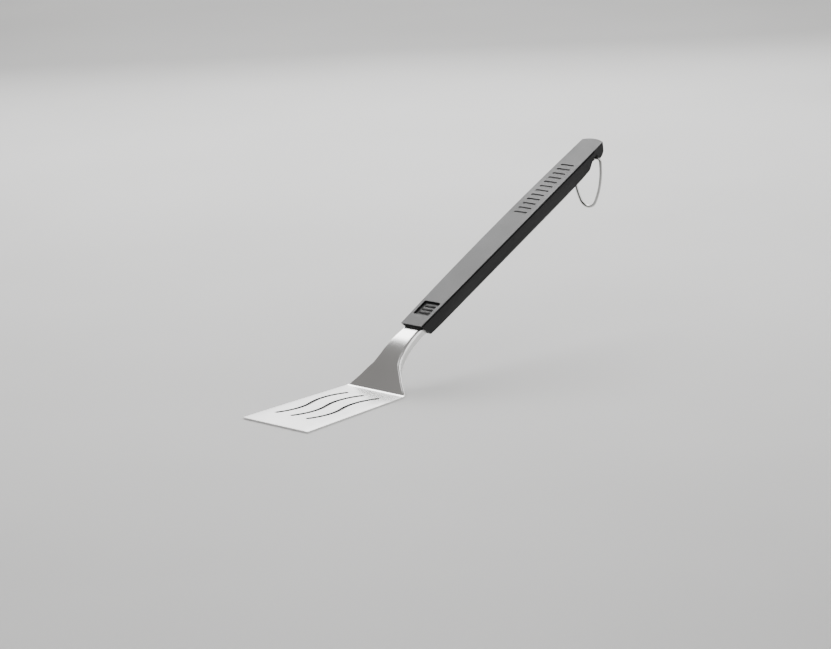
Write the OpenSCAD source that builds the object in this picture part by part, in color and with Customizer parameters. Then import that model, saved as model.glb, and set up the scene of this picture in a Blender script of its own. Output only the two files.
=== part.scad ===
// Slotted grill spatula: a stamped stainless head in a long two-part grip, with a free-swinging
// wire hanging loop. The blade lies flat on z = 0 and the handle rises towards +X.

/* [Blade] */
// Length of the flat blade, from its front edge to the bend line
blade_len = 126.5; // [110:0.5:150]
// Width of the blade at its front edge
blade_front_w = 79; // [70:1:95]
// Width of the blade at the bend line
blade_rear_w = 69.5; // [60:0.5:72]
// Thickness of the stainless sheet
sheet = 1.5; // [1.2:0.1:2]
// Plain web between the origin and the bend line
web_len = 10; // [8:1:14]
// Radius of the blade's front corners
front_corner_r = 1; // [1:0.5:4]

/* [Drain slots] */
// Number of drain slots
slot_count = 3; // [1:1:3]
// Sideways pitch of the slots
slot_pitch = 18.4; // [14:0.2:20]
// Width of one slot
slot_w = 4; // [2:0.2:4.4]
// Radius of the two arcs of a slot's wave
slot_r = 46; // [40:1:60]
// Rise of the wave from trough to crest
slot_rise = 5.2; // [3:0.2:7]
// Sideways offset of the middle slot's trough from the centreline
slot_offset = 0.5; // [-2:0.1:2]

/* [Neck] */
// Angle of the neck above the blade just behind the bend
neck_angle = 56; // [50:1:60]
// Length of the neck's straight lower stretch
neck_straight = 20; // [16:1:22]
// Radius of the neck's curve, on its upper face
neck_r = 72; // [66:1:80]
// Inner radius of the bend between blade and neck
bend_r = 3.5; // [2:0.5:5]
// Plan angle of the neck's flared sides to the handle line
flare_angle = 51; // [48:1:54]
// Half width of the neck where the flare meets the taper
waist_hw = 14.1; // [13.5:0.1:15]
// Half width of the neck where it enters the grip
entry_hw = 10.8; // [9:0.1:10.8]
// Half width at the far end of the tang
tang_hw = 8.4; // [8:0.1:8.8]
// Radius that blends flare and taper in plan
waist_r = 14; // [10:1:18]
// Depth of the side flanges, square to the neck plate
flange_depth = 7.4; // [6:0.2:7.4]
// Length of the tang inside the grip
tang_len = 74; // [60:1:80]

/* [Grip] */
// Angle of the handle above the blade
handle_angle = 25; // [22:0.5:28]
// Length of the grip's top face
grip_len = 288; // [280:1:296]
// Half width of the grip at its two ends
grip_end_hw = 12.5; // [12.5:0.1:13]
// How far each side bows out at the middle
side_bow = 1.8; // [1:0.1:2.5]
// How far the top face rises at the middle
top_crown = 1.1; // [0.6:0.1:1.6]
// Greatest depth of the underside below the top face's ends
belly_depth = 16.2; // [16:0.1:17]
// Station of that greatest depth, from the front edge
belly_at = 118; // [110:1:126]
// Depth of the underside at the front edge
front_depth = 13.4; // [13.2:0.1:13.8]
// Rounding of the grip's lower corners at the middle
corner_r = 6.5; // [5:0.5:7]
// Thickness of the shell's side walls
shell_wall = 1.4; // [1.2:0.1:1.6]
// Thickness of the shell's floor
shell_floor = 2.2; // [2:0.1:2.4]
// How far the front face leans back over the grip's depth
front_lean = 7; // [5:0.5:8]
// Height of the shadow groove between cover and shell
groove_h = 1; // [0.8:0.1:1.2]
// Depth of the shadow groove
groove_d = 0.9; // [0.6:0.1:1]
// Thickness of the cover's outer rim above the groove
rim_t = 0.9; // [0.8:0.1:1]
// Height of the grip's top face above the neck plate
cover_rise = 3.2; // [3:0.1:3.6]
// Gap along the handle between the neck's curve and the grip's front edge
grip_gap = 11; // [9:0.5:14]

/* [Grip pattern and badge] */
// Number of transverse grip grooves
rib_count = 12; // [8:1:13]
// Pitch of the grip grooves
rib_pitch = 6.8; // [6:0.1:7]
// Width of one grip groove
rib_w = 2.2; // [1.6:0.1:2.6]
// Half length of one grip groove across the cover
rib_half = 7.6; // [6.5:0.1:9]
// Depth of the grip grooves
rib_depth = 0.7; // [0.4:0.1:0.9]
// Station of the first groove from the front edge
rib_start = 169.5; // [168:0.5:176]
// Length of the badge
badge_len = 18.5; // [16:0.5:20]
// Width of the badge
badge_w = 19; // [14:0.5:19]
// Station of the badge's front end
badge_at = 15; // [13:0.5:16]

/* [End cap] */
// Station of the seam between shell and end cap
cap_seam = 270; // [269:0.5:271]
// Plan radius of the grip's rear end
rear_r = 30; // [26:1:40]
// Lean of the rear end, which leaves the top face overhanging
rear_lean = 20; // [16:1:24]
// Half width of the pivot lug under the cap
lug_hw = 8.4; // [8:0.1:8.8]
// Radius of the lug round the pivot bore
lug_r = 3; // [2.6:0.1:3]

/* [Hanging loop] */
// Diameter of the loop's wire
wire_d = 2.6; // [2.4:0.1:3]
// Drop from the pivot to the centre of the wire at the bottom
loop_drop = 47.5; // [44:0.5:50]
// Half width of the loop at its widest, to the wire's centre
loop_hw = 17; // [16.6:0.1:18]
// Drop from the pivot to the loop's widest point
loop_wide_at = 9.4; // [8:0.1:11]
// Bow radius of the loop's legs
leg_r = 70; // [66:1:80]
// Radius of the bend from a leg to its pivot end
shoulder_r = 3; // [2.6:0.1:3.2]
// Radial clearance of the wire in its bore
pivot_clear = 0.04; // [0.02:0.01:0.08]

/* [Hidden] */

arc_fn = 96;        // circles of ordinary size
wide = 120;         // longer than any width or depth that is cut
fit_gap = 0.1;      // gap between pieces that slide together at assembly

// Side view of the neck, along the plate's upper face
blade_front = web_len - blade_len;
neck_x1 = web_len + neck_straight * cos(neck_angle);
neck_z1 = sheet + neck_straight * sin(neck_angle);
neck_cx = neck_x1 + neck_r * sin(neck_angle);
neck_cz = neck_z1 - neck_r * cos(neck_angle);
neck_x2 = neck_cx - neck_r * sin(handle_angle);
neck_z2 = neck_cz + neck_r * cos(handle_angle);
bend_tangent = bend_r * tan(neck_angle / 2);
blade_overlap = web_len - bend_tangent - 1;

// Front edge of the grip's top face, which is the origin of the handle's own frame
grip_x = neck_x2 + grip_gap * cos(handle_angle) - cover_rise * sin(handle_angle);
grip_z = neck_z2 + grip_gap * sin(handle_angle) + cover_rise * cos(handle_angle);

// Wave of the drain slots, along the blade
slot_trough_x = web_len - 75;
slot_lead = 23.5;
slot_tail = 24.5;
slot_skew = 0.6;

// Plan view of the neck
entry_x = grip_x;
tang_end_x = grip_x + tang_len * cos(handle_angle);
waist_x = web_len + 18.2;
taper = (waist_hw - entry_hw) / (entry_x - waist_x);

// Grip outline
mid_hw = grip_end_hw + side_bow;
side_r = (pow(grip_len / 2, 2) + pow(side_bow, 2)) / (2 * side_bow);
crown_r = (pow(grip_len / 2, 2) + pow(top_crown, 2)) / (2 * top_crown);
belly_r = (pow(belly_at, 2) + pow(belly_depth - front_depth, 2)) / (2 * (belly_depth - front_depth));
shell_top = -rim_t - groove_h;
station_step = 12;
stations = [-station_step : station_step : grip_len + station_step];
reversed = [grip_len + station_step : -station_step : -station_step];
section_drop = 0.2;
lip_t = 2;
lip_inset = shell_wall + 1.2;
lip_start = tang_len + 6;
boss_top = -0.3;
boss_foot = shell_top - lip_t - 2;
mouth_end = 14;
plug_set_back = 1.6;
plug_gap = 0.3;
rear_block = 246;

// End cap and its screw
tongue_t = 3;
tongue_hw = 6.5;
tongue_start = 250;
tongue_end_r = 17;
cap_screw_at = 255.5;
cap_screw_len = 7;
pivot_u = cap_seam + 0.5;
pivot_w = -8.7;
recess_w = -5.6;
recess_len = 2.6;
sweep_from = cap_seam - 15;
sweep_to = cap_seam - 2;
chin_top = [grip_len - 4, -7];
chin_foot = [grip_len - 11, -11.6];

// Badge, its pocket and the pad that carries it under the cover
badge_floor = crown_w(badge_at) - 2.4;
badge_t = 0.8;
badge_corner_r = 1.5;
bar_rise = 0.5;
bar_w = 2.2;
bar_pitch = 4.6;
bar_margin = 3.6;
pad_foot = -3;
pad_end = badge_at + badge_len + 2.5;

// Fasteners
screw_tip = -2.4;
rivet_at = [43, 62];
rivet_r = 2;
rivet_head_r = 3.4;
rivet_head_h = 1;
rivet_foot = -9.4;
screw_at = [96, 152, 222];
screw_r = 1.5;
screw_head_r = 2.8;
screw_head_h = 1.2;
boss_r = 3.6;
core_boss_r = 4.6;
rib_t = 2;
core_rib_pitch = 14;
core_rib_first = 86;
core_rib_last = 240;
spine_hw = 2.6;
core_gap = 0.15;

// Hanging loop
wire_r = wire_d / 2;
bottom_r = loop_bottom_r();
pin_inner = 3.5;
pin_outer = 13.2;
join_angle = atan2(loop_drop - bottom_r - loop_wide_at, leg_r - loop_hw);

// Bottom radius that is tangent to both bowed legs
function loop_bottom_r() =
    let (c = leg_r - loop_hw, d = loop_drop - loop_wide_at)
    (leg_r * leg_r - c * c - d * d) / (2 * (leg_r - d));

// ---------- shared shapes ----------

module in_handle() {
    translate([grip_x, 0, grip_z])
        rotate([0, -handle_angle, 0])
            children();
}

// Extrude a side view, drawn in X and Z, across the full width
module across(width = wide) {
    rotate([90, 0, 0])
        linear_extrude(height = width, center = true)
            children();
}

// Points along an arc, n steps from one angle to the other
function arc_points(centre, r, from, to, n) =
    [for (i = [0 : n]) centre + r * [cos(from + (to - from) * i / n), sin(from + (to - from) * i / n)]];

function flip_y(points) = [for (i = [len(points) - 1 : -1 : 0]) [points[i][0], -points[i][1]]];

module mirrored_y() {
    children();
    mirror([0, 1, 0])
        children();
}

// ---------- stainless head ----------

// One wave-shaped slot: a trough and a crest whose arcs are tangent, with round ends
module slot() {
    near = slot_r - slot_w / 2;
    far = slot_r + slot_w / 2;
    trough = [slot_trough_x, slot_r];
    crest = [slot_trough_x + sqrt(slot_rise * (4 * slot_r - slot_rise)), slot_rise - slot_r];
    turn = atan2(crest[1] - trough[1], crest[0] - trough[0]);
    front = -90 - asin(slot_lead / slot_r);
    rear = 90 - asin(slot_tail / slot_r);
    front_end = trough + slot_r * [cos(front), sin(front)];
    rear_end = crest + slot_r * [cos(rear), sin(rear)];
    polygon(concat(arc_points(trough, far, front, turn, 12),
                   arc_points(crest, near, turn + 180, rear, 12),
                   arc_points(rear_end, slot_w / 2, rear - 180, rear, 8),
                   arc_points(crest, far, rear, turn + 180, 12),
                   arc_points(trough, near, turn, front, 12),
                   arc_points(front_end, slot_w / 2, front + 180, front + 360, 8)));
}

module blade_outline() {
    r = front_corner_r;
    fw = blade_front_w / 2;
    rw = blade_rear_w / 2;
    run = blade_len - bend_tangent;
    slope = (fw - rw) / run;
    left = concat([[run, rw]], arc_points([r, fw - r - r * slope], r, 90, 180, 6));
    translate([blade_front, 0])
        polygon(concat(left, flip_y(left)));
}

module blade_plate() {
    linear_extrude(height = sheet)
        difference() {
            blade_outline();
            for (i = [0 : slot_count - 1])
                translate([slot_skew * i, slot_offset + slot_pitch * ((slot_count - 1) / 2 - i)])
                    slot();
        }
}

// Side view, in X and Z, of the strip that bends up behind the blade and runs into the tang
module neck_side() {
    tang_end = grip_gap + tang_len;
    polygon(concat([[blade_overlap, 0]],
                   arc_points([web_len - bend_tangent, sheet + bend_r], bend_r + sheet,
                              -90, neck_angle - 90, 8),
                   arc_points([neck_cx, neck_cz], neck_r - sheet, 90 + neck_angle, 90 + handle_angle, 16),
                   [along_tang(tang_end, -sheet), along_tang(tang_end, 0)],
                   arc_points([neck_cx, neck_cz], neck_r, 90 + handle_angle, 90 + neck_angle, 16),
                   arc_points([web_len - bend_tangent, sheet + bend_r], bend_r,
                              neck_angle - 90, -90, 8),
                   [[blade_overlap, sheet]]));
}

// Side view of a flange: full depth above, running out to nothing at the blade's corner
module flange_side() {
    tang_end = grip_gap + tang_len;
    polygon(concat([[web_len - bend_tangent, 0], [web_len, 0]],
                   arc_points([neck_cx, neck_cz], neck_r - flange_depth,
                              90 + neck_angle, 90 + handle_angle, 16),
                   [along_tang(tang_end, -flange_depth), along_tang(tang_end, 0)],
                   arc_points([neck_cx, neck_cz], neck_r, 90 + handle_angle, 90 + neck_angle, 16),
                   arc_points([web_len - bend_tangent, sheet + bend_r], bend_r,
                              neck_angle - 90, -90, 8)));
}

// A point on the tang's side view, run along it and rise square to its upper face
function along_tang(run, rise) =
    [neck_x2 + run * cos(handle_angle) - rise * sin(handle_angle),
     neck_z2 + run * sin(handle_angle) + rise * cos(handle_angle)];

// Plan of the neck and tang, moved inward by inset
module neck_plan(inset) {
    lean = atan(taper);
    turn = flare_angle - lean;
    corner = [waist_x - inset * sin(lean + turn / 2) / cos(turn / 2),
              waist_hw - inset * cos(lean + turn / 2) / cos(turn / 2)];
    r = waist_r + inset;
    centre = corner + r * tan(turn / 2) * [cos(lean), -sin(lean)] + r * [sin(lean), cos(lean)];
    shoulder = blade_rear_w / 2 - inset;
    left = concat([[blade_overlap, shoulder],
                   [corner[0] - (shoulder - corner[1]) / tan(flare_angle), shoulder]],
                  arc_points(centre, r, 270 - flare_angle, 270 - lean, 12),
                  [[entry_x, entry_hw - inset], [tang_end_x, tang_hw - inset]]);
    polygon(concat(left, flip_y(left)));
}

module blade_head() {
    color("lightgray")
        difference() {
            union() {
                blade_plate();
                intersection() {
                    across()
                        neck_side();
                    linear_extrude(height = wide)
                        neck_plan(0);
                }
                intersection() {
                    across()
                        flange_side();
                    linear_extrude(height = wide)
                        difference() {
                            neck_plan(0);
                            neck_plan(sheet);
                        }
                }
            }
            in_handle()
                for (u = rivet_at)
                    translate([u, 0, -cover_rise - 3])
                        cylinder(r = rivet_r, h = 6, center = true, $fn = arc_fn);
        }
}

// ---------- grip envelope ----------

// The grip's long curves are cut at even stations, close enough to read as smooth
function bow(u) = mid_hw - side_r + sqrt(pow(side_r, 2) - pow(u - grip_len / 2, 2));
function crown_w(u) = top_crown - crown_r + sqrt(pow(crown_r, 2) - pow(u - grip_len / 2, 2));
function under_w(u) = belly_r - belly_depth - sqrt(pow(belly_r, 2) - pow(u - belly_at, 2));

module grip_plan(inset) {
    polygon([for (u = stations) [u, inset - bow(u)], for (u = reversed) [u, bow(u) - inset]]);
}

// Side view between the crowned top, lowered by drop, and the bellied underside, raised by rise
module grip_side(drop, rise) {
    polygon([for (u = stations) [u, under_w(u) + rise], for (u = reversed) [u, crown_w(u) - drop]]);
}

// Cross-section with rounded lower corners, drawn in Y and Z
module grip_section(inset) {
    core_hw = mid_hw - corner_r;
    floor_w = -belly_depth - section_drop;
    hw = mid_hw - inset;
    translate([-hw, floor_w + corner_r])
        square([2 * hw, 2 * corner_r]);
    translate([-core_hw, floor_w + inset])
        square([2 * core_hw, corner_r + 1]);
    for (s = [-1, 1])
        translate([s * core_hw, floor_w + corner_r])
            circle(r = corner_r - inset, $fn = arc_fn);
}

module envelope(drop, rise, inset) {
    intersection() {
        across()
            grip_side(drop, rise);
        translate([0, 0, -wide / 2])
            linear_extrude(height = wide)
                grip_plan(inset);
        translate([-10, 0, 0])
            rotate([90, 0, 90])
                linear_extrude(height = grip_len + 20)
                    grip_section(inset);
    }
}

// Everything in front of the leaning front face, set back along the handle
module front_waste(set_back) {
    slope = front_lean / front_depth;
    h = wide / 4;
    across()
        polygon([[-h, h], [set_back - h * slope, h], [set_back + h * slope, -h], [-h, -h]]);
}

// Everything behind the rounded, leaning rear end, and the bevel under it
module rear_waste() {
    centre_u = grip_len - rear_r / cos(rear_lean);
    difference() {
        translate([centre_u, -wide / 2, -wide / 4])
            cube([wide / 2, wide, wide / 2]);
        translate([centre_u, 0, 0])
            rotate([0, rear_lean, 0])
                cylinder(r = rear_r, h = wide, center = true, $fn = 4 * arc_fn);
    }
    across()
        polygon([chin_top, chin_foot, [grip_len, -belly_depth], [grip_len + 10, chin_top[1]]]);
}

// Everything under the curve by which the shell's underside sweeps up to the pivot
function sweep_w(u) =
    let (t = min(1, max(0, (u - sweep_from) / (sweep_to - sweep_from))))
    under_w(u) + (recess_w - under_w(sweep_to)) * t * t * (3 - 2 * t);

module sweep_waste() {
    step = (sweep_to - sweep_from) / 12;
    across()
        polygon(concat([for (u = [sweep_from : step : sweep_to + step / 2]) [u, sweep_w(u)]],
                       [[cap_seam + 1, recess_w], [cap_seam + 1, -wide / 4], [sweep_from, -wide / 4]]));
}

module slice(from, to) {
    translate([from, -wide / 2, -wide / 2])
        cube([to - from, wide, wide]);
}

// The plan shape of the cover's rounded rear end
module cover_end(grow) {
    intersection() {
        translate([cap_seam - 40, -wide / 2])
            square([60, wide]);
        translate([cap_seam + 5 - tongue_end_r, 0])
            circle(r = tongue_end_r + grow, $fn = arc_fn);
    }
}

// ---------- grip pieces ----------

module grip_shell() {
    color("dimgray")
        in_handle()
            difference() {
                intersection() {
                    envelope(-shell_top, 0, 0);
                    slice(-5, cap_seam);
                }
                intersection() {
                    envelope(-2, shell_floor, shell_wall);
                    slice(-5, rear_block);
                }
                front_waste(0);
                sweep_waste();
                translate([tongue_start, -tongue_hw - fit_gap, shell_top - tongue_t - fit_gap])
                    cube([40, 2 * (tongue_hw + fit_gap), 10]);
                translate([cap_screw_at, 0, shell_top - screw_head_h - cap_screw_len])
                    cylinder(r = screw_r, h = 20, $fn = arc_fn);
                for (u = screw_at)
                    screw_hole(u);
            }
}

// Clearance hole and head pocket, from the underside
module screw_hole(u) {
    translate([u, 0, -wide / 2])
        cylinder(r = screw_r, h = wide / 2, $fn = arc_fn);
    translate([u, 0, under_w(u) - 1])
        cylinder(r = screw_head_r, h = screw_head_h + 1, $fn = arc_fn);
}

module top_cover() {
    color("dimgray")
        in_handle()
            difference() {
                union() {
                    cover_layer(0, rim_t, 0);
                    cover_layer(rim_t, -shell_top, groove_d);
                    intersection() {
                        cover_layer(-shell_top, lip_t - shell_top, lip_inset);
                        slice(lip_start, rear_block - 1);
                    }
                    difference() {
                        intersection() {
                            cover_layer(-shell_top, -pad_foot, lip_inset);
                            slice(0, pad_end);
                        }
                        front_waste(plug_set_back);
                    }
                    for (u = screw_at)
                        translate([u, 0, boss_foot])
                            cylinder(r = boss_r, h = boss_top - boss_foot, $fn = arc_fn);
                }
                front_waste(0);
                for (u = screw_at)
                    translate([u, 0, boss_foot - 1])
                        cylinder(r = screw_r, h = screw_tip - boss_foot + 1, $fn = arc_fn);
                for (i = [0 : rib_count - 1])
                    grip_groove(rib_start + i * rib_pitch);
                badge_prism(4);
            }
}

// Layer of the cover between two crowned faces, both given as drops below the top face
module cover_layer(top_drop, bottom_drop, inset) {
    intersection() {
        across()
            polygon([for (u = stations) [u, crown_w(u) - bottom_drop],
                     for (u = reversed) [u, crown_w(u) - top_drop]]);
        translate([0, 0, -wide / 2])
            linear_extrude(height = wide)
                intersection() {
                    grip_plan(inset);
                    union() {
                        translate([-10, -wide / 2])
                            square([cap_seam + 10, wide]);
                        cover_end(-inset);
                    }
                }
    }
}

// A round-ended groove across the cover
module grip_groove(u) {
    translate([u, 0, crown_w(u) - rib_depth]) {
        translate([-rib_w / 2, -rib_half + rib_w / 2, 0])
            cube([rib_w, 2 * rib_half - rib_w, 4]);
        for (s = [-1, 1])
            translate([0, s * (rib_half - rib_w / 2), 0])
                cylinder(d = rib_w, h = 4, $fn = arc_fn);
    }
}

// Rounded rectangle of the badge, standing on its floor
module badge_prism(height) {
    r = badge_corner_r;
    hw = badge_w / 2;
    translate([badge_at, 0, badge_floor]) {
        translate([r, -hw, 0])
            cube([badge_len - 2 * r, 2 * hw, height]);
        translate([0, -hw + r, 0])
            cube([badge_len, 2 * (hw - r), height]);
        for (x = [r, badge_len - r], y = [-hw + r, hw - r])
            translate([x, y, 0])
                cylinder(r = r, h = height, $fn = arc_fn);
    }
}

// Plain inlay with three raised bars
module badge_plate() {
    color("black")
        in_handle() {
            badge_prism(badge_t);
            for (i = [-1 : 1])
                translate([badge_at + badge_len / 2 + i * bar_pitch - bar_w / 2,
                           bar_margin - badge_w / 2, badge_floor])
                    cube([bar_w, badge_w - 2 * bar_margin, badge_t + bar_rise]);
        }
}

// Nylon spine that fills the tang and stiffens the hollow shell
module grip_core() {
    plug_hw = tang_hw - sheet - core_gap;
    color("gray")
        in_handle()
            difference() {
                intersection() {
                    envelope(2, shell_floor + core_gap, shell_wall + core_gap);
                    union() {
                        translate([mouth_end + 2, -plug_hw, -wide / 2])
                            cube([lip_start - mouth_end - 2, 2 * plug_hw, wide / 2 - cover_rise - sheet]);
                        translate([0, 0, -wide / 2])
                            linear_extrude(height = wide / 2 + shell_top - lip_t - core_gap)
                                core_ribs();
                    }
                }
                for (u = screw_at) {
                    translate([u, 0, 0])
                        cylinder(r = screw_r, h = wide, center = true, $fn = arc_fn);
                    translate([u, 0, boss_foot - core_gap])
                        cylinder(r = boss_r + core_gap, h = 10, $fn = arc_fn);
                }
                for (u = rivet_at)
                    translate([u, 0, 0])
                        cylinder(r = rivet_r, h = wide, center = true, $fn = arc_fn);
                for (u = rivet_at)
                    translate([u, 0, rivet_foot - 10])
                        cylinder(r = rivet_head_r, h = 10, $fn = arc_fn);
            }
}

// Plan of the spine: a centre web, cross ribs and screw bosses
module core_ribs() {
    translate([lip_start - 2, -spine_hw])
        square([core_rib_last + 2 - lip_start, 2 * spine_hw]);
    for (u = [core_rib_first : core_rib_pitch : core_rib_last])
        translate([u - rib_t / 2, -mid_hw])
            square([rib_t, 2 * mid_hw]);
    for (u = screw_at)
        translate([u, 0])
            circle(r = core_boss_r, $fn = arc_fn);
}

// Moulded plug that closes the grip's mouth, inside the neck channel and under its flanges
module neck_collar() {
    flange_w = -cover_rise - flange_depth;
    color("black")
        in_handle()
            intersection() {
                difference() {
                    envelope(-shell_top, shell_floor, shell_wall + fit_gap);
                    front_waste(plug_set_back);
                }
                slice(0, mouth_end);
                union() {
                    channel_block(flange_w - 1, -cover_rise - sheet);
                    translate([0, -wide / 2, flange_w - wide])
                        cube([wide, wide, wide]);
                }
            }
}

// Tapered block that fills the channel between two heights, clear of its flanges
module channel_block(bottom, top) {
    slope = (entry_hw - tang_hw) / (tang_end_x - entry_x) * cos(handle_angle);
    end = mouth_end + 1;
    hw = entry_hw - sheet - plug_gap;
    translate([0, 0, bottom])
        linear_extrude(height = top - bottom)
            polygon([[0, -hw], [end, slope * end - hw], [end, hw - slope * end], [0, hw]]);
}

// Round bar along the pivot's axis
module pivot_rod(r, length) {
    translate([pivot_u, 0, pivot_w])
        rotate([90, 0, 0])
            cylinder(r = r, h = length, center = true, $fn = arc_fn);
}

module end_cap() {
    color("dimgray")
        in_handle()
            difference() {
                union() {
                    intersection() {
                        envelope(0, 0, 0);
                        slice(cap_seam, grip_len + 5);
                    }
                    translate([tongue_start + fit_gap, -tongue_hw, shell_top - tongue_t])
                        cube([cap_seam - tongue_start, 2 * tongue_hw, tongue_t]);
                    intersection() {
                        pivot_rod(lug_r, 2 * lug_hw);
                        envelope(0, 0, 0);
                    }
                }
                rear_waste();
                translate([0, 0, shell_top])
                    linear_extrude(height = 10)
                        cover_end(0);
                mirrored_y()
                    translate([cap_seam - 1, lug_hw, recess_w - wide])
                        cube([1 + recess_len, wide, wide]);
                pivot_rod(wire_r + pivot_clear, wide);
                translate([cap_screw_at, 0, shell_top - screw_head_h])
                    cylinder(r = screw_head_r, h = 10, $fn = arc_fn);
                translate([cap_screw_at, 0, 0])
                    cylinder(r = screw_r, h = 24, center = true, $fn = arc_fn);
            }
}

// ---------- fasteners ----------

module tang_rivets() {
    color("silver")
        in_handle()
            for (u = rivet_at)
                translate([u, 0, rivet_foot - rivet_head_h]) {
                    cylinder(r = rivet_head_r - 0.2, h = rivet_head_h, $fn = arc_fn);
                    cylinder(r = rivet_r, h = rivet_head_h - rivet_foot - cover_rise, $fn = arc_fn);
                    translate([0, 0, rivet_head_h - rivet_foot - cover_rise])
                        cylinder(r = rivet_head_r, h = rivet_head_h, $fn = arc_fn);
                }
}

// Pan-head screw standing on z = 0, its shank pointing up
module screw(shank) {
    difference() {
        cylinder(r = screw_head_r, h = screw_head_h, $fn = arc_fn);
        for (a = [0, 90])
            rotate(a)
                translate([-screw_head_r * 0.6, -0.35, -0.5])
                    cube([screw_head_r * 1.2, 0.7, 1.3]);
    }
    translate([0, 0, screw_head_h])
        cylinder(r = screw_r, h = shank, $fn = arc_fn);
}

module cover_screws() {
    color("silver")
        in_handle()
            for (u = screw_at)
                translate([u, 0, under_w(u)])
                    screw(screw_tip - under_w(u) - screw_head_h);
}

module cap_screw() {
    color("silver")
        in_handle()
            translate([cap_screw_at, 0, shell_top])
                rotate([180, 0, 0])
                    screw(cap_screw_len);
}

// ---------- hanging loop ----------

// Centreline of the bent wire, as [x, y, angle of the outward normal] from one pin to the other.
// X is across the grip, -Y is down, and the pivot is at the origin.
function wire_run(centre, r, from, to, n) =
    [for (i = [0 : n]) let (a = from + (to - from) * i / n)
        [centre[0] + r * cos(a), centre[1] + r * sin(a), a]];

function loop_path() =
    let (reach = leg_r - shoulder_r,
         leg_top = asin((loop_wide_at - shoulder_r) / reach),
         leg_x = loop_hw - leg_r,
         shoulder_x = leg_x + reach * cos(leg_top),
         half = concat(wire_run([shoulder_x, -shoulder_r], shoulder_r, 90, leg_top, 8),
                       wire_run([leg_x, -loop_wide_at], leg_r, leg_top - 1, 1 - join_angle, 10),
                       wire_run([0, bottom_r - loop_drop], bottom_r, -join_angle, -85, 8)))
    concat(half, [for (i = [len(half) - 1 : -1 : 0]) [-half[i][0], half[i][1], -180 - half[i][2]]]);

// Closed tube round a path in the XY plane
module tube(path, r, sides) {
    n = len(path);
    points = [for (p = path, k = [0 : sides - 1]) let (t = 360 * k / sides)
        [p[0] + r * cos(t) * cos(p[2]), p[1] + r * cos(t) * sin(p[2]), r * sin(t)]];
    walls = [for (i = [0 : n - 2], k = [0 : sides - 1]) let (m = (k + 1) % sides)
        [i * sides + k, (i + 1) * sides + k, (i + 1) * sides + m, i * sides + m]];
    ends = [[for (k = [0 : sides - 1]) k], [for (k = [sides - 1 : -1 : 0]) (n - 1) * sides + k]];
    polyhedron(points = points, faces = concat(walls, ends), convexity = 6);
}

module hang_loop() {
    p = [grip_x + pivot_u * cos(handle_angle) - pivot_w * sin(handle_angle),
         grip_z + pivot_u * sin(handle_angle) + pivot_w * cos(handle_angle)];
    color("silver")
        translate([p[0], 0, p[1]])
            rotate([90, 0, 90]) {
                tube(concat([[pin_outer - 1, 0, 90]], loop_path(), [[1 - pin_outer, 0, -270]]),
                     wire_r - 0.01, 16);
                for (s = [-1, 1])
                    translate([s * (pin_inner + pin_outer) / 2, 0, 0])
                        rotate([0, 90, 0])
                            cylinder(r = wire_r, h = pin_outer - pin_inner, center = true, $fn = arc_fn);
            }
}

blade_head();
neck_collar();
grip_core();
tang_rivets();
grip_shell();
top_cover();
badge_plate();
end_cap();
cap_screw();
cover_screws();
hang_loop();
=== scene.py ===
import math

import bmesh
import bpy
from mathutils import Matrix, Vector


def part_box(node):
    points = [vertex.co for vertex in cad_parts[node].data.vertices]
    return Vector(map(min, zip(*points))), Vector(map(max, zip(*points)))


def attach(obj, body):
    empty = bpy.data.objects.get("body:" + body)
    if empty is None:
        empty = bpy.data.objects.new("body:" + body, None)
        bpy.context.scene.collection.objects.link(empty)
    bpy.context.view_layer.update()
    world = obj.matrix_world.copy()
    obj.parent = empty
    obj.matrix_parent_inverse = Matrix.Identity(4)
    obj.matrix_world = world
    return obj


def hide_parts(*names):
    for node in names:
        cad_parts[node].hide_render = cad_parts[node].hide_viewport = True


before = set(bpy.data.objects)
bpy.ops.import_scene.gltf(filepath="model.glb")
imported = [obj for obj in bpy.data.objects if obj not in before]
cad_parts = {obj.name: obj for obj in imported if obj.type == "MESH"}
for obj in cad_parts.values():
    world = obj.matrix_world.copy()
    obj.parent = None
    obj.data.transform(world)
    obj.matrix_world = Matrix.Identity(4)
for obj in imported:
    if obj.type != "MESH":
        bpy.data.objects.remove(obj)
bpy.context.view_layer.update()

MM = 0.001
WELD = 1e-4
SHARP_ANGLE = 28
LEAST_TURN_R = 4.0


# ---------- small helpers ----------

def rad(d):
    return math.radians(d)


def sind(d):
    return math.sin(math.radians(d))


def cosd(d):
    return math.cos(math.radians(d))


def mix(a, b, t):
    return a + (b - a) * t


def smooth(t):
    t = min(1.0, max(0.0, t))
    return t * t * (3 - 2 * t)


def link_object(name, bm):
    """Turn a bmesh in millimetres into an object in the scene, and free the bmesh."""
    bmesh.ops.scale(bm, vec=(MM, MM, MM), verts=bm.verts)
    me = bpy.data.meshes.new(name)
    bm.to_mesh(me)
    bm.free()
    ob = bpy.data.objects.new(name, me)
    bpy.context.scene.collection.objects.link(ob)
    return ob


def finish_object(ob, material, body, nodes, angle=32):
    """Make an object a shaded piece that rides on a body, sharp above the angle."""
    me = ob.data
    me.materials.clear()
    me.materials.append(material)
    me.shade_smooth()
    me.set_sharp_from_angle(angle=rad(angle))
    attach(ob, body)
    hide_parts(*nodes)


def loft(bm, rings):
    """Skin a list of equally long closed point rings and cap both ends."""
    layers = [[bm.verts.new(p) for p in ring] for ring in rings]
    n = len(layers[0])
    for a, b in zip(layers, layers[1:]):
        for i in range(n):
            j = (i + 1) % n
            bm.faces.new((a[i], a[j], b[j], b[i]))
    bm.faces.new(list(reversed(layers[0])))
    bm.faces.new(layers[-1])


def clean(bm):
    """Weld coincident points, drop empty faces and turn the normals outwards."""
    bmesh.ops.remove_doubles(bm, verts=bm.verts, dist=WELD)
    bmesh.ops.dissolve_degenerate(bm, dist=WELD, edges=bm.edges)
    bmesh.ops.recalc_face_normals(bm, faces=bm.faces)


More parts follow.
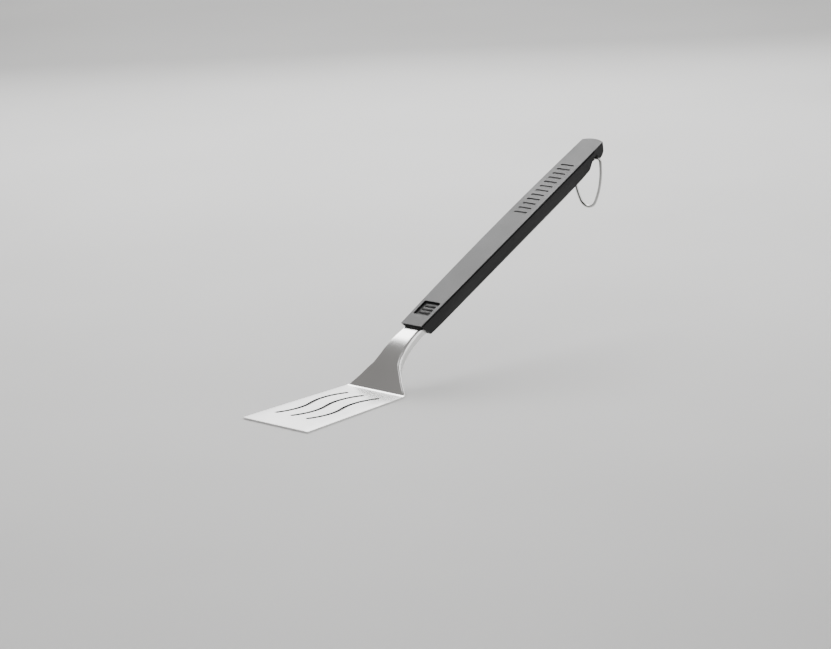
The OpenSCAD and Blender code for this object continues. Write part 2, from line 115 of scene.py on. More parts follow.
def apply_modifiers(ob):
    """Keep the evaluated mesh and clear the modifiers."""
    deps = bpy.context.evaluated_depsgraph_get()
    me = bpy.data.meshes.new_from_object(ob.evaluated_get(deps))
    ob.modifiers.clear()
    ob.data = me


def drop(ob):
    """Delete an object and its mesh."""
    me = ob.data
    bpy.data.objects.remove(ob)
    bpy.data.meshes.remove(me)


def paint_side_shade(ob, material):
    """Give the faces that look sideways the darker grip plastic as a second material: painted
    shade on the sides.
    """
    ob.data.materials.append(material)
    for face in ob.data.polygons:
        if abs(face.normal.y) > 0.6:
            face.material_index = 1


def sharp_edges(bm):
    return {e for e in bm.edges
            if len(e.link_faces) == 2 and e.calc_face_angle(0) > rad(SHARP_ANGLE)}


def tight(vert, sharp):
    """True where a sharp edge line turns on too small a radius to be rounded."""
    ends = [e for e in vert.link_edges if e in sharp]
    if len(ends) != 2:
        return False
    a = (ends[0].other_vert(vert).co - vert.co).normalized()
    b = (vert.co - ends[1].other_vert(vert).co).normalized()
    turn = a.angle(b, 0.0)
    length = min(e.calc_length() for e in ends)
    return rad(2) < turn < rad(40) and length < LEAST_TURN_R * turn


def refined(node, name, width, material, segments, share=lambda p: 1.0):
    """The CAD node's own shape, welded to clean faces, with its long edges rounded.

    share(point) is the part of the full width that an edge at that point gets.
    """
    bm = bmesh.new()
    bm.from_mesh(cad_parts[node].data)
    bmesh.ops.scale(bm, vec=(1 / MM, 1 / MM, 1 / MM), verts=bm.verts)
    bmesh.ops.remove_doubles(bm, verts=bm.verts, dist=0.002)
    bmesh.ops.dissolve_limit(bm, angle_limit=rad(0.4), verts=bm.verts, edges=bm.edges,
                             delimit={"NORMAL"})
    bmesh.ops.recalc_face_normals(bm, faces=bm.faces)
    weight = bm.edges.layers.float.new("bevel_weight_edge")
    sharp = sharp_edges(bm)
    round_verts = {v for v in bm.verts if tight(v, sharp)}
    for e in sharp:
        if not (e.verts[0] in round_verts or e.verts[1] in round_verts):
            e[weight] = share((e.verts[0].co + e.verts[1].co) / 2)
    ob = link_object(name, bm)
    bevel = ob.modifiers.new("edges", "BEVEL")
    bevel.width = width * MM
    bevel.segments = segments
    bevel.limit_method = "WEIGHT"
    bevel.use_clamp_overlap = True
    bevel.miter_outer = "MITER_ARC"
    apply_modifiers(ob)
    finish_object(ob, material, "spatula", [node], 14)
    return ob


# ---------- materials ----------

class Nodes:
    """A node tree with short ways to add and link nodes."""

    def __init__(self, name):
        self.mat = bpy.data.materials.new(name)
        self.mat.use_nodes = True
        self.tree = self.mat.node_tree
        self.bsdf = self.tree.nodes["Principled BSDF"]
        self.coord = self.tree.nodes.new("ShaderNodeTexCoord").outputs["Object"]

    def add(self, kind, **values):
        n = self.tree.nodes.new(kind)
        for k, v in values.items():
            setattr(n, k, v)
        return n

    def link(self, a, b):
        self.tree.links.new(a, b)

    def mapped(self, scale):
        m = self.add("ShaderNodeMapping")
        m.inputs["Scale"].default_value = scale
        self.link(self.coord, m.inputs["Vector"])
        return m.outputs["Vector"]

    def noise(self, scale, detail, rough, stretch=(1, 1, 1)):
        n = self.add("ShaderNodeTexNoise")
        n.inputs["Scale"].default_value = scale
        n.inputs["Detail"].default_value = detail
        n.inputs["Roughness"].default_value = rough
        self.link(self.mapped(stretch), n.inputs["Vector"])
        return n.outputs["Fac"]

    def ramp(self, fac, stops):
        r = self.add("ShaderNodeValToRGB")
        while len(r.color_ramp.elements) < len(stops):
            r.color_ramp.elements.new(0.5)
        for e, (pos, col) in zip(r.color_ramp.elements, stops):
            e.position = pos
            e.color = (*col, 1)
        self.link(fac, r.inputs["Fac"])
        return r.outputs["Color"]

    def span(self, fac, low, high, from_low=0.3, from_high=0.7):
        m = self.add("ShaderNodeMapRange")
        m.inputs["From Min"].default_value = from_low
        m.inputs["From Max"].default_value = from_high
        m.inputs["To Min"].default_value = low
        m.inputs["To Max"].default_value = high
        self.link(fac, m.inputs["Value"])
        return m.outputs["Result"]

    def math(self, op, a, b):
        m = self.add("ShaderNodeMath", operation=op)
        for i, v in enumerate((a, b)):
            if isinstance(v, (int, float)):
                m.inputs[i].default_value = v
            else:
                self.link(v, m.inputs[i])
        return m.outputs["Value"]

    def blend(self, kind, a, b):
        """Blend output b over a, which is a plain colour or an output, at full strength."""
        m = self.add("ShaderNodeMix", data_type="RGBA", blend_type=kind)
        m.inputs["Factor"].default_value = 1.0
        if isinstance(a, tuple):
            m.inputs["A"].default_value = (*a, 1)
        else:
            self.link(a, m.inputs["A"])
        self.link(b, m.inputs["B"])
        return m.outputs["Result"]

    def bump(self, height, strength, distance, normal=None):
        b = self.add("ShaderNodeBump")
        b.inputs["Strength"].default_value = strength
        b.inputs["Distance"].default_value = distance
        self.link(height, b.inputs["Height"])
        if normal is not None:
            self.link(normal, b.inputs["Normal"])
        return b.outputs["Normal"]

    def set(self, **values):
        for k, v in values.items():
            s = self.bsdf.inputs[k.replace("_", " ")]
            if hasattr(v, "is_linked"):
                self.link(v, s)
            else:
                s.default_value = v


def brushed_steel(name, colour, low, high, stretch, grain=1.0):
    """Satin sheet: long fine brush lines with faint clouding."""
    n = Nodes(name)
    lines = n.noise(1500, 2.0, 0.5, stretch)
    cloud = n.noise(22, 2.0, 0.5)
    tone = n.math("ADD", n.span(lines, -0.012, 0.012), n.span(cloud, 0.985, 1.005))
    rough = n.math("ADD", n.span(cloud, low, high), n.span(lines, -0.012, 0.012))
    n.set(Base_Color=n.blend("MULTIPLY", colour, tone), Metallic=1.0, Roughness=rough)
    n.set(Normal=n.bump(lines, 0.02 * grain, 0.00001))
    return n.mat


def moulded_plastic(name, colour, rough, grain, speck=0.02, spec=0.5):
    """Matt moulded plastic: fine spark-eroded grain, soft tone drift and tiny light specks."""
    n = Nodes(name)
    fine = n.noise(2600, 2.0, 0.6)
    mid = n.noise(950, 4.0, 0.65)
    drift = n.noise(22, 3.0, 0.5)
    base = n.math("MULTIPLY", n.span(drift, 0.86, 1.12), n.span(mid, 0.45, 1.55, 0.36, 0.64))
    dots = n.span(fine, 0.0, speck, 0.6, 0.78)
    tint = n.blend("ADD", n.blend("MULTIPLY", colour, base), dots)
    r = n.math("ADD", n.span(drift, rough - 0.04, rough + 0.04), n.span(mid, -0.12, 0.12))
    n.set(Base_Color=tint, Roughness=r, Specular_IOR_Level=spec)
    first = n.bump(mid, 0.5 * grain, 0.00018)
    n.set(Normal=n.bump(fine, 0.35 * grain, 0.00006, first))
    return n.mat


def bright_wire(name):
    """Drawn and plated wire: smooth, with a slow drift in tone and sheen."""
    n = Nodes(name)
    drift = n.noise(120, 3.0, 0.5)
    fine = n.noise(1500, 2.0, 0.5)
    n.set(Base_Color=n.ramp(drift, [(0.3, (0.46, 0.46, 0.455)), (0.7, (0.56, 0.56, 0.55))]),
          Metallic=1.0,
          Roughness=n.math("ADD", n.span(drift, 0.14, 0.22), n.span(fine, 0.0, 0.05)))
    n.set(Normal=n.bump(fine, 0.08, 0.00002))
    return n.mat


MAT_STEEL = brushed_steel("satin_stainless", (0.87, 0.87, 0.865), 0.20, 0.24, (0.02, 1, 1))
MAT_FOLD = brushed_steel("folded_stainless", (0.88, 0.88, 0.87), 0.34, 0.40, (0.02, 1, 1))
# Near-black steel for the slot walls: painted shade inside the slots.
MAT_SLOT_SHADE = brushed_steel("slot_wall_painted_shade", (0.02, 0.02, 0.02), 0.5, 0.6, (1, 1, 0.1))
MAT_FASTENER = brushed_steel("plain_steel", (0.6, 0.6, 0.6), 0.3, 0.4, (1, 1, 1), 0.6)
MAT_WIRE = bright_wire("bright_wire")
# Darker grip plastic: the tray's own finish, and painted shade on the sideways faces of the cover
# and cap.
MAT_GRIP_AND_SIDE_SHADE = moulded_plastic("grip_plastic", (0.009, 0.009, 0.0095), 0.50, 1.0, 0.008, 0.25)
MAT_COVER = moulded_plastic("cover_plastic", (0.024, 0.024, 0.025), 0.46, 1.0, 0.02, 0.43)
MAT_CAP = moulded_plastic("cap_plastic", (0.022, 0.022, 0.023), 0.46, 1.0, 0.02, 0.40)
MAT_COLLAR = moulded_plastic("collar_plastic", (0.012, 0.012, 0.012), 0.55, 0.8)
MAT_CORE = moulded_plastic("core_plastic", (0.08, 0.08, 0.08), 0.6, 0.8)
MAT_BARS = moulded_plastic("badge_bar_plastic", (0.004, 0.004, 0.004), 0.55, 0.3, 0.0, 0.15)


# ---------- dimensions, in millimetres, as in the solid model ----------

SHEET = 1.5
BLADE_FRONT = -116.5
BLADE_FRONT_HW = 39.5
BLADE_REAR_HW = 34.75
FRONT_R = 1.0
WEB = 10.0
NECK_ANGLE = 56.0
NECK_STRAIGHT = 20.0
NECK_R = 72.0
BEND_R = 3.5
HANDLE_ANGLE = 25.0
GRIP_GAP = 11.0
TANG_LEN = 74.0
COVER_RISE = 3.2
FLANGE = 7.4
WAIST_X = WEB + 18.2
WAIST_HW = 14.1
WAIST_R = 14.0
ENTRY_HW = 10.8
TANG_HW = 8.4
FLARE = 51.0
SLOT_R = 46.0
SLOT_RISE = 5.2
SLOT_LEAD = 23.5
SLOT_TAIL = 24.5
SLOT_TROUGH_X = -65.0
SLOT_STEP_X = 0.6
SLOT_MID_Y = 0.5
SLOT_PITCH = 18.4

BEND_T = BEND_R * math.tan(rad(NECK_ANGLE / 2))
NECK_X1 = WEB + NECK_STRAIGHT * cosd(NECK_ANGLE)
NECK_Z1 = SHEET + NECK_STRAIGHT * sind(NECK_ANGLE)
NECK_CX = NECK_X1 + NECK_R * sind(NECK_ANGLE)
NECK_CZ = NECK_Z1 - NECK_R * cosd(NECK_ANGLE)
NECK_X2 = NECK_CX - NECK_R * sind(HANDLE_ANGLE)
NECK_Z2 = NECK_CZ + NECK_R * cosd(HANDLE_ANGLE)
GRIP_X = NECK_X2 + GRIP_GAP * cosd(HANDLE_ANGLE) - COVER_RISE * sind(HANDLE_ANGLE)
GRIP_Z = NECK_Z2 + GRIP_GAP * sind(HANDLE_ANGLE) + COVER_RISE * cosd(HANDLE_ANGLE)
TANG_END_X = GRIP_X + TANG_LEN * cosd(HANDLE_ANGLE)
TAPER = (WAIST_HW - ENTRY_HW) / (GRIP_X - WAIST_X)


# ---------- stainless head ----------

def waist_arc():
    """Centre and end stations of the arc that blends flare and taper in plan."""
    lean = math.degrees(math.atan(TAPER))
    turn = FLARE - lean
    run = WAIST_R * math.tan(rad(turn / 2))
    cx = WAIST_X + run * cosd(lean) + WAIST_R * sind(lean)
    cy = WAIST_HW - run * sind(lean) + WAIST_R * cosd(lean)
    return cx, cy, cx - WAIST_R * sind(FLARE), cx - WAIST_R * sind(lean)


ARC_CX, ARC_CY, ARC_X1, ARC_X2 = waist_arc()


def plan_hw(x):
    """Half width of the head in plan at station x, its rear corners slightly rounded."""
    side = mix(BLADE_FRONT_HW, BLADE_REAR_HW, min(1.0, (x - BLADE_FRONT) / (WEB - BLADE_FRONT)))
    dx = x - BLADE_FRONT
    if dx < FRONT_R:
        return side - FRONT_R + math.sqrt(max(0.0, FRONT_R ** 2 - (FRONT_R - dx) ** 2))
    if x < ARC_X1:
        y = ARC_CY - math.sqrt(WAIST_R ** 2 - (ARC_X1 - ARC_CX) ** 2)
        flare = y + (ARC_X1 - x) * math.tan(rad(FLARE))
        return 0.5 * (side + flare - math.sqrt((side - flare) ** 2 + 1.2))
    if x < ARC_X2:
        return ARC_CY - math.sqrt(WAIST_R ** 2 - (x - ARC_CX) ** 2)
    if x < GRIP_X:
        return WAIST_HW - TAPER * (x - WAIST_X)
    return mix(ENTRY_HW, TANG_HW, min(1.0, (x - GRIP_X) / (TANG_END_X - GRIP_X)))


def head_stations():
    """(x, z, normal angle, distance past the bend) along the plate's upper face."""
    out = []
    for i in range(9):
        out.append((BLADE_FRONT + FRONT_R * (1 - cosd(90 * i / 8)), SHEET, 90.0, 0.0))
    for i in range(1, 13):
        x = mix(BLADE_FRONT + FRONT_R, WEB - BEND_T, i / 12)
        out.append((x, SHEET, 90.0, 0.0))
    cx, cz = WEB - BEND_T, SHEET + BEND_R
    for i in range(1, 11):
        a = -90 + NECK_ANGLE * i / 10
        s = BEND_R * rad(NECK_ANGLE * i / 10)
        out.append((cx + BEND_R * cosd(a), cz + BEND_R * sind(a), a + 180, s))
    s0 = BEND_R * rad(NECK_ANGLE)
    x0, z0 = out[-1][0], out[-1][1]
    for i in range(1, 19):
        t = i / 18
        out.append((mix(x0, NECK_X1, t), mix(z0, NECK_Z1, t), 90 + NECK_ANGLE,
                    s0 + t * math.hypot(NECK_X1 - x0, NECK_Z1 - z0)))
    s1 = out[-1][3]
    for i in range(1, 33):
        a = 90 + mix(NECK_ANGLE, HANDLE_ANGLE, i / 32)
        out.append((NECK_CX + NECK_R * cosd(a), NECK_CZ + NECK_R * sind(a), a,
                    s1 + NECK_R * rad(NECK_ANGLE + 90 - a)))
    s2 = out[-1][3]
    length = GRIP_GAP + TANG_LEN
    for i in range(1, 13):
        d = length * i / 12
        out.append((NECK_X2 + d * cosd(HANDLE_ANGLE), NECK_Z2 + d * sind(HANDLE_ANGLE),
                    90 + HANDLE_ANGLE, s2 + d))
    return out


def edge_slant(x, nz):
    """How much longer an inset gets across the handle line where the edge runs at a slant."""
    rate = (plan_hw(x + 0.2) - plan_hw(x - 0.2)) / 0.4 * abs(nz)
    return math.sqrt(1 + rate * rate)


def head_ring(x, z, normal, s):
    """Cross-section square to the plate: plate, rolled fold and turned-down flange."""
    nx, nz = cosd(normal), sind(normal)
    grown = smooth((s - 0.5) / 5)
    flange = mix(SHEET, FLANGE, min(1.0, max(0.0, s - BEND_T) / (NECK_STRAIGHT - BEND_T)))
    slant = edge_slant(x, nz) if s > 0 else 1.0
    fold = mix(0.15, mix(4.7, 3.6, smooth((x - 22) / 8)), grown)
    deep = min(fold, flange * 0.92)
    inner = max(0.15, min(deep - SHEET, flange - SHEET - 0.05)) if flange > SHEET + 0.2 else 0.0
    wide = max(inner, fold - SHEET) if inner > 0 else 0.0

    def point(depth, inset):
        px, pz = x - depth * nx, z - depth * nz
        return Vector((px, plan_hw(px) - inset * slant, pz))

    side = []
    for i in range(13):
        a = 90 * i / 12
        side.append(point(deep * (1 - cosd(a)), fold * (1 - sind(a))))
    for i in range(1, 5):
        side.append(point(mix(deep, flange - 0.12, i / 4), 0.0))
    side.append(point(flange - 0.04, 0.04))
    side.append(point(flange, 0.12))
    side.append(point(flange, SHEET - 0.12))
    side.append(point(flange - 0.04, SHEET - 0.04))
    side.append(point(flange - 0.12, SHEET))
    top = SHEET + inner
    for i in range(1, 4):
        side.append(point(mix(flange - 0.12, top, i / 3), SHEET))
    for i in range(1, 9):
        a = 90 - 90 * i / 8
        side.append(point(SHEET + inner * (1 - cosd(a)), SHEET + wide * (1 - sind(a))))
    top_y = side[0].y
    low_y = side[-1].y
    crown = [Vector((x, top_y * (1 - 2 * i / 8), z)) for i in range(1, 8)]
    bx, bz = x - SHEET * nx, z - SHEET * nz
    floor = [Vector((bx, -low_y * (1 - 2 * i / 8), bz)) for i in range(1, 8)]
    other = [Vector((p.x, -p.y, p.z)) for p in side]
    return list(reversed(side)) + crown + other + floor


def slot_path(index):
    """Centre line of one wave-shaped slot: points with the line's heading in degrees."""
    r, rise = SLOT_R, SLOT_RISE
    tx, ty = SLOT_TROUGH_X, r
    cx, cy = tx + math.sqrt(rise * (4 * r - rise)), rise - r
    turn = math.degrees(math.atan2(cy - ty, cx - tx))
    front = -90 - math.degrees(math.asin(SLOT_LEAD / r))
    rear = 90 - math.degrees(math.asin(SLOT_TAIL / r))
    pts = []
    for i in range(25):
        a = mix(front, turn, i / 24)
        pts.append((tx + r * cosd(a), ty + r * sind(a), a + 90))
    for i in range(1, 25):
        a = mix(turn + 180, rear, i / 24)
        pts.append((cx + r * cosd(a), cy + r * sind(a), a - 90))
    shift_x, shift_y = SLOT_STEP_X * index, SLOT_MID_Y + SLOT_PITCH * (1 - index)
    return [(x + shift_x, y + shift_y, h) for x, y, h in pts]


def slot_outline(path, half):
    """Closed outline at a distance half from the path, with round ends."""
    left = [(x - half * sind(h), y + half * cosd(h)) for x, y, h in path]
    right = [(x + half * sind(h), y - half * cosd(h)) for x, y, h in path]
    x1, y1, h1 = path[-1]
    x0, y0, h0 = path[0]
    tip = [(x1 + half * cosd(h1 + 90 - 180 * i / 10), y1 + half * sind(h1 + 90 - 180 * i / 10))
           for i in range(1, 10)]
    tail = [(x0 + half * cosd(h0 - 90 - 180 * i / 10), y0 + half * sind(h0 - 90 - 180 * i / 10))
            for i in range(1, 10)]
    return left + tip + list(reversed(right)) + tail


def slot_cutter(path):
    """The slot as a body, a little wider at both faces of the sheet to soften its edges."""
    bm = bmesh.new()
    levels = [(-0.4, 2.46), (0.0, 2.06), (0.03, 2.02), (0.08, 2.0), (1.42, 2.0), (1.47, 2.02),
              (1.5, 2.06), (1.9, 2.46)]
    loft(bm, [[Vector((x, y, z)) for x, y in slot_outline(path, half)] for z, half in levels])
    bmesh.ops.recalc_face_normals(bm, faces=bm.faces)
    return link_object("cutter", bm)


def make_head():
    """Blade, neck and tang in one piece; the slot walls are painted near black as painted shade,
    and the flange sides get a rougher finish.
    """
    bm = bmesh.new()
    loft(bm, [head_ring(*s) for s in head_stations()])
    clean(bm)
    ob = link_object("turner_head", bm)
    cutters = [slot_cutter(slot_path(i)) for i in range(3)]
    combine(ob, cutters, "DIFFERENCE")
    finish_object(ob, MAT_STEEL, "spatula", ["blade_head"], 20)
    ob.data.materials.append(MAT_SLOT_SHADE)
    ob.data.materials.append(MAT_FOLD)
    for face in ob.data.polygons:
        c = face.center / MM
        # Slot walls take the near-black steel: painted shade.
        if abs(face.normal.z) < 0.5 and -95 < c.x < 0 and abs(c.y) < 30:
            face.material_index = 1
        elif c.x > WEB and abs(face.normal.y) > 0.86:
            face.material_index = 2


# ---------- hanging loop ----------

def tube(bm, path, radius, sides):
    """Round tube along (point, outward normal) pairs whose plane is square to X."""
    across = Vector((1, 0, 0))
    rings = []
    for p, n in path:
        rings.append([p + radius * (math.cos(2 * math.pi * k / sides) * n +
                                    math.sin(2 * math.pi * k / sides) * across)
                      for k in range(sides)])
    loft(bm, rings)


def make_loop():
    """The bent wire loop, sized to the CAD loop's own box."""
    lo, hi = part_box("hang_loop")
    wire = (hi.x - lo.x) / MM / 2
    px = (lo.x + hi.x) / MM / 2
    pz = hi.z / MM - wire
    drop_len = (hi.z - lo.z) / MM - 2 * wire
    hw = (hi.y - lo.y) / MM / 2 - wire
    leg, shoulder, wide_at = 70.0, 3.0, 9.4
    c, d = leg - hw, drop_len - wide_at
    bottom = (leg * leg - c * c - d * d) / (2 * (leg - d))
    join = math.degrees(math.atan2(drop_len - bottom - wide_at, c))
    top = math.degrees(math.asin((wide_at - shoulder) / (leg - shoulder)))
    sx = hw - leg + (leg - shoulder) * cosd(top)
    half = []

    def arc(cy, cz, r, a0, a1, n):
        for i in range(n + 1):
            a = mix(a0, a1, i / n)
            half.append((cy + r * cosd(a), cz + r * sind(a), a))

    for y in (3.5, 3.6, 3.8):
        half.append((y, 0.0, 90.0))
    half.append((sx - 0.6, 0.0, 90.0))
    arc(sx, -shoulder, shoulder, 90, top, 12)
    arc(hw - leg, -wide_at, leg, top - 1, 1 - join, 24)
    arc(0, bottom - drop_len, bottom, -join, -88, 16)
    half.append((0.0, -drop_len, -90.0))
    full = half + [(-y, z, 180 - a) for y, z, a in reversed(half[:-1])]
    path = [(Vector((px, y, pz + z)), Vector((0, cosd(a), sind(a)))) for y, z, a in full]
    bm = bmesh.new()
    tube(bm, path, wire, 28)
    clean(bm)
    finish_object(link_object("wire_loop", bm), MAT_WIRE, "loop", ["hang_loop"], 40)


# ---------- cover and badge, drawn in the handle's own frame ----------

GRIP_LEN = 288.0
END_HW = 12.5
SIDE_BOW = 1.8
TOP_CROWN = 1.1
SIDE_R = ((GRIP_LEN / 2) ** 2 + SIDE_BOW ** 2) / (2 * SIDE_BOW)
CROWN_R = ((GRIP_LEN / 2) ** 2 + TOP_CROWN ** 2) / (2 * TOP_CROWN)
LEAN = 7.0 / 13.4
SEAM = 270.0
COVER_END_R = 17.0
RIM, COVER_T, GROOVE_D = 0.9, 1.9, 0.9
BADGE_AT, BADGE_LEN, BADGE_HW, BADGE_R = 15.0, 18.5, 9.5, 1.5
BADGE_T, BAR_RISE, BAR_W, BAR_PITCH, BAR_HW = 0.8, 0.5, 2.2, 4.6, 5.9
BADGE_FLOOR = 2.4
SCREW_AT = (96.0, 152.0, 222.0)
GROOVE_N, GROOVE_AT, GROOVE_PITCH = 12, 169.5, 6.8


def bow(u):
    return END_HW + SIDE_BOW - SIDE_R + math.sqrt(SIDE_R ** 2 - (u - GRIP_LEN / 2) ** 2)


def crown(u):
    return TOP_CROWN - CROWN_R + math.sqrt(CROWN_R ** 2 - (u - GRIP_LEN / 2) ** 2)


def to_world(bm):
    """Move a bmesh from the handle's own frame, in millimetres, into the row frame."""
    turn = Matrix.Rotation(rad(-HANDLE_ANGLE), 4, "Y")
    bm.transform(Matrix.Translation((GRIP_X, 0, GRIP_Z)) @ turn)


def cover_outline():
    """Right-hand plan outline: (u, half width, inset direction) from the front to the tip."""
    pts = [(0.0, bow(0.0), (1.0, 1.0))]
    for i in range(1, 91):
        u = (SEAM - 0.3) * i / 90
        pts.append((u, bow(u), (0.0, 1.0)))
    cu = SEAM + 5 - COVER_END_R
    start = math.degrees(math.acos((SEAM - cu) / COVER_END_R))
    for i in range(19):
        a = mix(start, 4.0, i / 18)
        pts.append((cu + COVER_END_R * cosd(a), COVER_END_R * sind(a), (0.0, 0.0)))
    return pts


def strip_body(outline, levels, lean=True):
    """A closed body over a mirrored plan outline; levels are (drop below the crown, inset)."""
    bm = bmesh.new()
    right, left = [], []
    for drop_mm, inset in levels:
        r_row, l_row = [], []
        for u, hw, (du, dy) in outline:
            x = u + inset * du
            w = crown(u) - drop_mm
            if lean and x < 4:
                x = mix(x - w * LEAN, x, max(0.0, x) / 4)
            y = max(0.02, hw - inset * dy)
            r_row.append(bm.verts.new((x, -y, w)))
            l_row.append(bm.verts.new((x, y, w)))
        right.append(r_row)
        left.append(l_row)
    n = len(outline)
    for k in range(len(levels) - 1):
        for i in range(n - 1):
            bm.faces.new((right[k][i], right[k][i + 1], right[k + 1][i + 1], right[k + 1][i]))
            bm.faces.new((left[k][i + 1], left[k][i], left[k + 1][i], left[k + 1][i + 1]))
        bm.faces.new((left[k][0], right[k][0], right[k + 1][0], left[k + 1][0]))
        bm.faces.new((right[k][-1], left[k][-1], left[k + 1][-1], right[k + 1][-1]))
    for rows in ((right[0], left[0]), (right[-1], left[-1])):
        for i in range(n - 1):
            bm.faces.new((rows[0][i], rows[1][i], rows[1][i + 1], rows[0][i + 1]))
    bmesh.ops.recalc_face_normals(bm, faces=bm.faces)
    return bm


def round_box(bm, u0, u1, hw, corner, levels, steps=8):
    """A body with round plan corners; levels are (height, outset)."""
    rings = []
    for w, out in levels:
        ring = []
        for cu, cy, a0 in ((u1 - corner, hw - corner, 0), (u0 + corner, hw - corner, 90),
                           (u0 + corner, corner - hw, 180), (u1 - corner, corner - hw, 270)):
            for i in range(steps + 1):
                a = a0 + 90 * i / steps
                r = corner + out
                ring.append(Vector((cu + r * cosd(a), cy + r * sind(a), w)))
        rings.append(ring)
    loft(bm, rings)


def block(u0, u1, hw, corner, levels):
    """A round_box as a temporary object, for a boolean."""
    bm = bmesh.new()
    round_box(bm, u0, u1, hw, corner, levels)
    clean(bm)
    to_world(bm)
    return link_object("block", bm)


def combine(ob, others, operation):
    """Apply exact booleans with temporary objects and delete those."""
    for other in others:
        m = ob.modifiers.new("combine", "BOOLEAN")
        m.operation = operation
        m.solver = "EXACT"
        m.object = other
    apply_modifiers(ob)
    for other in others:
        drop(other)


def make_cover():
    """Crowned top strip with its edge groove, badge recess, cross grooves and screw bosses."""
    levels = [(0.0, 0.45), (0.03, 0.28), (0.1, 0.12), (0.24, 0.02), (0.36, 0.0), (RIM - 0.1, 0.0),
              (RIM, 0.1), (RIM, GROOVE_D), (COVER_T, GROOVE_D)]
    bm = strip_body(cover_outline(), levels)
    to_world(bm)
    ob = link_object("grip_lid", bm)
    floor_w = crown(BADGE_AT) - BADGE_FLOOR
    mouth = crown(24)
    lip = strip_body([(u, bow(u) - 2.6, (0.0, 1.0)) for u in range(80, 246, 5)],
                     [(COVER_T - 0.2, 0.0), (COVER_T + 2.0, 0.0)], False)
    to_world(lip)
    added = [link_object("lip", lip), block(1.9, 36.0, 10.2, 0.3, [(-3.0, 0.0), (-1.2, 0.0)])]
    for u in SCREW_AT:
        added.append(block(u - 3.6, u + 3.6, 3.6, 3.59, [(-5.9, 0.0), (-1.2, 0.0)]))
    combine(ob, added, "UNION")
    cuts = [block(BADGE_AT, BADGE_AT + BADGE_LEN, BADGE_HW, BADGE_R,
                  [(floor_w, 0.0), (mouth - 0.3, 0.0), (mouth - 0.1, 0.06),
                   (mouth + 0.02, 0.2), (mouth + 0.6, 0.8)])]
    for i in range(GROOVE_N):
        u = GROOVE_AT + GROOVE_PITCH * i
        top = crown(u)
        cuts.append(block(u - 1.1, u + 1.1, 7.6, 1.08,
                          [(top - 0.7, -0.25), (top - 0.55, 0.0), (top - 0.2, 0.0),
                           (top - 0.08, 0.05), (top + 0.01, 0.15), (top + 0.5, 0.6)]))
    for u in SCREW_AT:
        cuts.append(block(u - 1.5, u + 1.5, 1.5, 1.49, [(-7.0, 0.0), (-2.4, 0.0)]))
    combine(ob, cuts, "DIFFERENCE")
    finish_object(ob, MAT_COVER, "spatula", ["top_cover"], 9)
    # The cover's sideways faces turn darker: painted shade.
    paint_side_shade(ob, MAT_GRIP_AND_SIDE_SHADE)


def make_badge():
    """The recessed badge: a plain field with three raised bars."""
    floor_w = crown(BADGE_AT) - BADGE_FLOOR
    top = floor_w + BADGE_T
    bm = bmesh.new()
    round_box(bm, BADGE_AT, BADGE_AT + BADGE_LEN, BADGE_HW, BADGE_R,
              [(floor_w, -0.02), (top - 0.1, -0.02), (top - 0.03, -0.05), (top, -0.12)])
    clean(bm)
    to_world(bm)
    finish_object(link_object("badge_field", bm), MAT_COVER, "spatula", ["badge_plate"])
    bm = bmesh.new()
    mid = BADGE_AT + BADGE_LEN / 2
    for i in (-1, 0, 1):
        u = mid + i * BAR_PITCH
        round_box(bm, u - BAR_W / 2, u + BAR_W / 2, BAR_HW, 0.3,
                  [(top - 0.3, 0.0), (top + BAR_RISE - 0.12, 0.0), (top + BAR_RISE - 0.03, -0.04),
                   (top + BAR_RISE, -0.14)], 4)
    clean(bm)
    to_world(bm)
    finish_object(link_object("badge_bars", bm), MAT_BARS, "spatula", ["badge_plate"])


def cap_share(p):
    """The cap's outer rim is rounded fully, the seam against the cover only just."""
    u = (p.x - GRIP_X) * cosd(HANDLE_ANGLE) + (p.z - GRIP_Z) * sind(HANDLE_ANGLE)
    return 1.0 if u > GRIP_LEN - 4 else 0.2


# ---------- pieces ----------

make_head()
make_loop()
make_cover()
make_badge()
refined("grip_shell", "grip_tray", 0.4, MAT_GRIP_AND_SIDE_SHADE, 3)
# The cap's sideways faces turn darker: painted shade.
paint_side_shade(refined("end_cap", "rear_cap", 0.6, MAT_CAP, 3, cap_share), MAT_GRIP_AND_SIDE_SHADE)
refined("neck_collar", "mouth_collar", 0.2, MAT_COLLAR, 2)

for node, material in (("grip_core", MAT_CORE), ("tang_rivets", MAT_FASTENER),
                       ("cap_screw", MAT_FASTENER), ("cover_screws", MAT_FASTENER)):
    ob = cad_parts[node]
    ob.data.materials.clear()
    ob.data.materials.append(material)


# ---------- floor, light and camera, in metres except the floor ----------

FLOOR_HALF = 4000
SENSOR = 36
FOCAL_PIXELS = 3500
IMAGE_WIDTH = 831


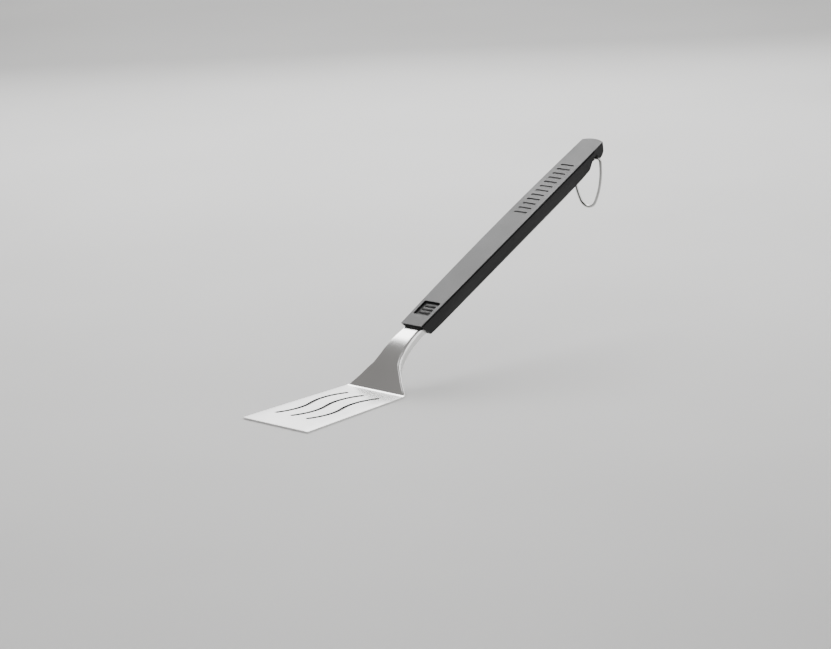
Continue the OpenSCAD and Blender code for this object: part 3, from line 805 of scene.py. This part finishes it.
def make_floor():
    bm = bmesh.new()
    bmesh.ops.create_grid(bm, x_segments=8, y_segments=8, size=FLOOR_HALF)
    ob = link_object("floor", bm)
    n = Nodes("pale_floor")
    cloud = n.noise(3.0, 2.0, 0.5)
    n.set(Base_Color=n.ramp(cloud, [(0.3, (0.57, 0.57, 0.565)), (0.7, (0.61, 0.61, 0.605))]),
          Roughness=0.6)
    ob.data.materials.append(n.mat)


def area_light(name, at, target, size, power):
    """A rectangular light of size (width, height), aimed at the target."""
    data = bpy.data.lights.new(name, "AREA")
    data.shape = "RECTANGLE"
    data.size, data.size_y = size
    data.energy = power
    ob = bpy.data.objects.new(name, data)
    ob.location = at
    ob.rotation_euler = (Vector(target) - Vector(at)).to_track_quat("-Z", "Y").to_euler()
    bpy.context.scene.collection.objects.link(ob)


def make_camera():
    """The photograph's view, as fitted to the blade, the neck and the grip."""
    forward = Vector((0.69938, 0.66734, -0.25601)).normalized()
    up = Vector((0.21889, 0.14100, 0.96551))
    right = forward.cross(up).normalized()
    up = right.cross(forward).normalized()
    data = bpy.data.cameras.new("camera")
    data.sensor_width = SENSOR
    data.lens = FOCAL_PIXELS * SENSOR / IMAGE_WIDTH
    data.clip_end = 50
    ob = bpy.data.objects.new("camera", data)
    m = Matrix((right, up, -forward)).transposed().to_4x4()
    m.translation = (-2.1275, -2.0922, 0.8522)
    ob.matrix_world = m
    bpy.context.scene.collection.objects.link(ob)
    bpy.context.scene.camera = ob


make_floor()
make_camera()
area_light("key_softbox", (0.74, 0.9, 1.25), (0.15, 0, 0.1), (1.05, 1.0), 17)
area_light("fill_softbox", (-0.92, -0.17, 1.31), (0.05, 0, 0.05), (1.3, 1.0), 6.5)
area_light("blade_panel", (0.92, 0.88, 0.77), (-0.05, 0, 0.05), (1.5, 1.3), 12.5)
area_light("side_panel", (0.92, -0.68, 0.75), (0.05, 0, 0.06), (1.9, 1.3), 14)
area_light("backdrop_light", (2.0, 1.9, 1.6), (2.0, 1.9, 0), (2.0, 2.0), 40)
world = bpy.data.worlds.new("studio")
world.use_nodes = True
background = world.node_tree.nodes["Background"]
background.inputs["Color"].default_value = (0.92, 0.895, 0.87, 1)
background.inputs["Strength"].default_value = 0.29
bpy.context.scene.world = world
